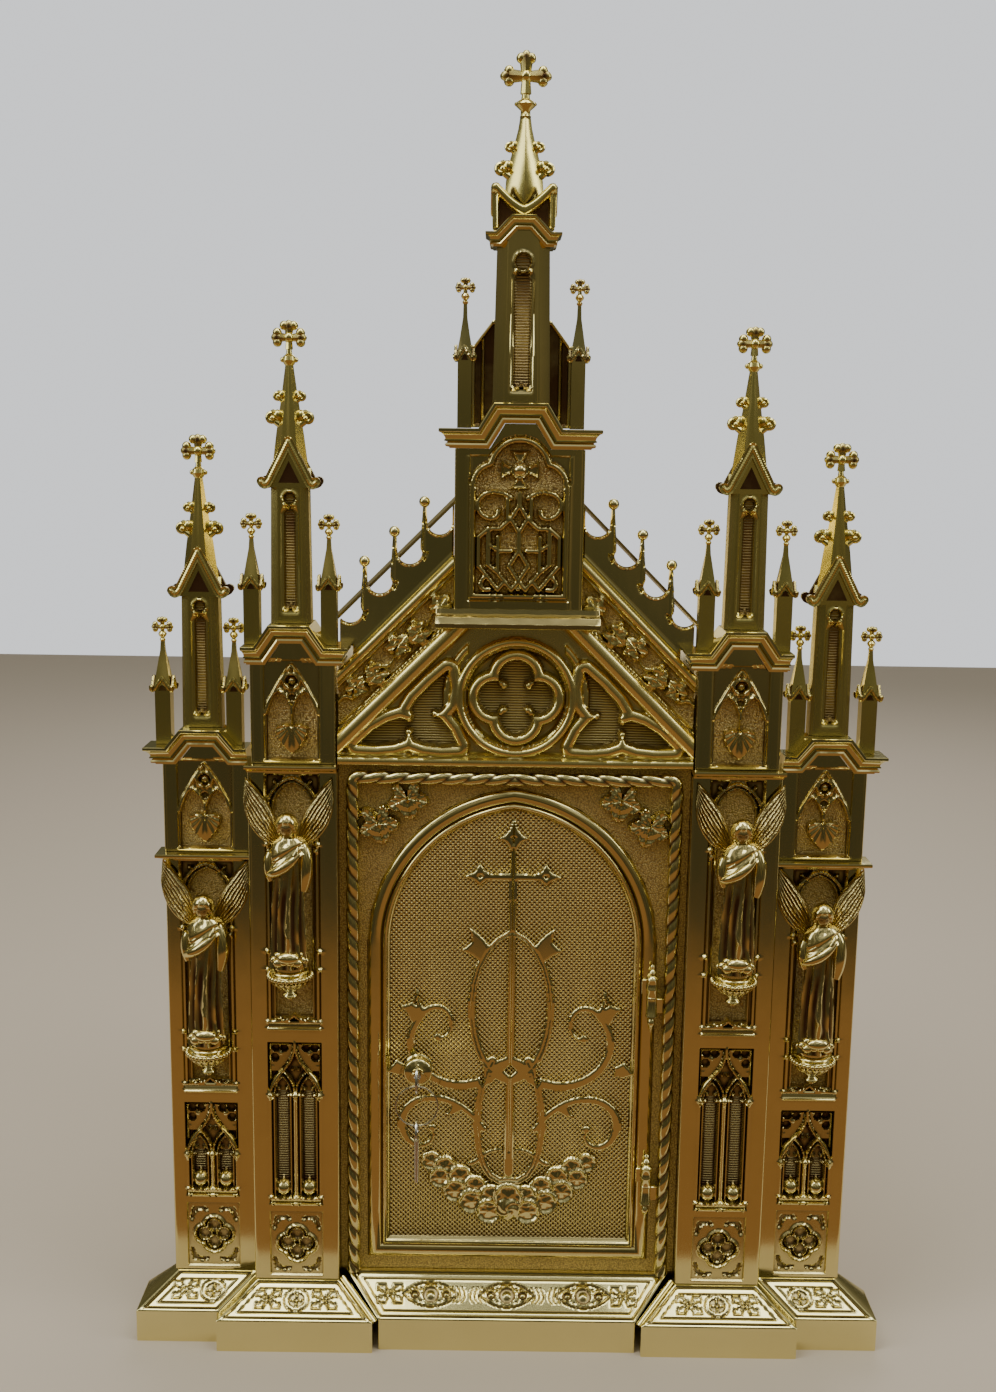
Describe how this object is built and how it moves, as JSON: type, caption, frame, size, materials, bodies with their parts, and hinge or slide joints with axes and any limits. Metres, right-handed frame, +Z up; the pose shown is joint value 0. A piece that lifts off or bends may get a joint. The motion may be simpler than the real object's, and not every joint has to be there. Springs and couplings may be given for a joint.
{
  "type": "altar tabernacle",
  "caption": "Gothic brass tabernacle cabinet with a pointed hinged door, pilasters with angels, pinnacles, a gable and a central tower with a cross",
  "frame": {"origin": "under the middle of the bounding box, on the surface that it stands on", "axes": "+Z up, -Y is the front with the door, +X is the viewer's right"},
  "size_m": [0.58, 0.33, 0.966],
  "materials": {
    "polished_brass": "polished cast brass under clear lacquer, dark brown in the recesses",
    "antiqued_brass": "cast brass relief, antiqued dark in its grounds and rubbed bright on its edges",
    "sheet_brass": "plain sheet brass",
    "nickelled_steel": "worn nickel plate"
  },
  "bodies": {
    "cabinet": {"plinth_outer_left": "polished_brass", "plinth_inner_left": "polished_brass", "plinth_centre": "polished_brass", "plinth_inner_right": "polished_brass", "plinth_outer_right": "polished_brass", "rope_moulding": "polished_brass", "cornice_outer_left": "polished_brass", "cornice_outer_right": "polished_brass", "cornice_inner_left": "polished_brass", "cornice_inner_right": "polished_brass", "spire_outer_left": "polished_brass", "spire_outer_right": "polished_brass", "spire_inner_left": "polished_brass", "spire_inner_right": "polished_brass", "pinnacle_outer_near_left": "polished_brass", "pinnacle_outer_near_right": "polished_brass", "pinnacle_outer_far_left": "polished_brass", "pinnacle_outer_far_right": "polished_brass", "pinnacle_inner_near_left": "polished_brass", "pinnacle_inner_near_right": "polished_brass", "pinnacle_inner_far_left": "polished_brass", "pinnacle_inner_far_right": "polished_brass", "angel_outer_left": "polished_brass", "angel_outer_right": "polished_brass", "angel_inner_left": "polished_brass", "angel_inner_right": "polished_brass", "corbel_outer_left": "polished_brass", "corbel_outer_right": "polished_brass", "corbel_inner_left": "polished_brass", "corbel_inner_right": "polished_brass", "cresting_left": "polished_brass", "cresting_right": "polished_brass", "ivy_spray_left": "polished_brass", "ivy_spray_right": "polished_brass", "tower_cornice": "polished_brass", "turret_cornice": "polished_brass", "tower_spire": "polished_brass", "hinge_lower_socket": "polished_brass", "hinge_upper_socket": "polished_brass", "pilaster_outer_left": "antiqued_brass", "pilaster_outer_right": "antiqued_brass", "pilaster_inner_left": "antiqued_brass", "pilaster_inner_right": "antiqued_brass", "gable": "antiqued_brass", "tower_stage": "antiqued_brass", "tower_turret": "antiqued_brass", "door_surround": "antiqued_brass", "cabinet_body": "sheet_brass", "roof_left": "sheet_brass", "roof_right": "sheet_brass"},
    "door": {"door_ornament": "polished_brass", "door_garland": "polished_brass", "hinge_lower_knuckle": "polished_brass", "hinge_upper_knuckle": "polished_brass", "lock_boss": "polished_brass", "door_leaf": "antiqued_brass", "key": "nickelled_steel", "key_ring": "nickelled_steel", "spare_key": "nickelled_steel"}
  },
  "joints": [
    {"name": "door_hinge", "type": "hinge", "parent": "cabinet", "child": "door", "pos_m": [0.1075, -0.1328, 0.2], "axis": [0, 0, 1], "range_deg": [0, 105]}
  ]
}
